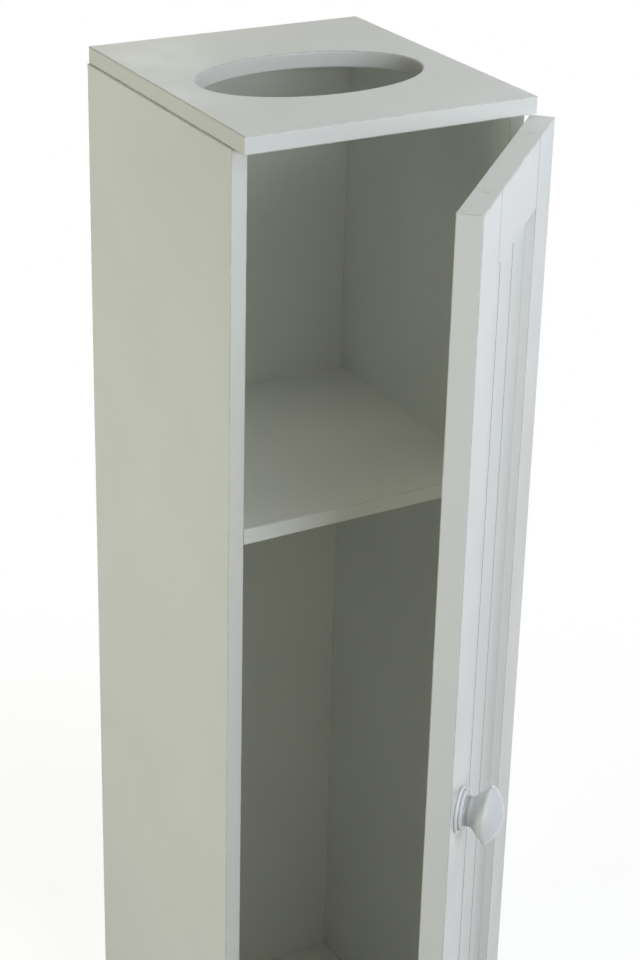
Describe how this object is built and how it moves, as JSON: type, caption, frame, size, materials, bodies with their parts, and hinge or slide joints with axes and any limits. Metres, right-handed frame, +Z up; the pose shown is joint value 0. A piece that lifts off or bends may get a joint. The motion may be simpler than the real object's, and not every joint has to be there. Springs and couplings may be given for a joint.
{
  "type": "toilet roll storage cabinet",
  "caption": "Slim tall white cabinet for spare toilet rolls: oval opening in the top, fixed shelf, and a hinged framed door with a V-grooved panel and a turned knob.",
  "frame": {"origin": "centre of the base panel's underside, on the floor", "axes": "+Z up, -Y towards the front (the door), +X towards the hinge side"},
  "size_m": [0.1785, 0.3112, 0.66],
  "materials": {
    "white_paint": "satin white paint over smooth fibreboard",
    "white_knob_paint": "semi-gloss white paint on a turned wooden knob",
    "beech": "plain beech dowel",
    "plated_steel": "bright plated steel",
    "white_plastic": "moulded white plastic",
    "ferrite": "dark sintered ferrite magnet"
  },
  "bodies": {
    "cabinet": {"top_panel": "white_paint", "base_panel": "white_paint", "left_side": "white_paint", "right_side": "white_paint", "back_panel": "white_paint", "shelf": "white_paint", "top_dowels": "beech", "base_dowels": "beech", "shelf_dowels": "beech", "upper_cabinet_leaf": "plated_steel", "lower_cabinet_leaf": "plated_steel", "upper_hinge_pin": "plated_steel", "lower_hinge_pin": "plated_steel", "cabinet_hinge_screws": "plated_steel", "catch_case": "white_plastic", "catch_magnet": "ferrite", "catch_pole_plates": "plated_steel", "catch_screws": "plated_steel"},
    "door": {"free_stile": "white_paint", "hinge_stile": "white_paint", "top_rail": "white_paint", "bottom_rail": "white_paint", "grooved_panel": "white_paint", "upper_door_leaf": "plated_steel", "lower_door_leaf": "plated_steel", "door_hinge_screws": "plated_steel", "knob": "white_knob_paint", "knob_screw": "plated_steel", "strike_plate": "plated_steel", "strike_screw": "plated_steel"}
  },
  "joints": [
    {"name": "door_swing", "type": "hinge", "parent": "cabinet", "child": "door", "pos_m": [0.0872, -0.0815, 0.33], "axis": [0, 0, 1], "range_deg": [-44, 136]}
  ]
}
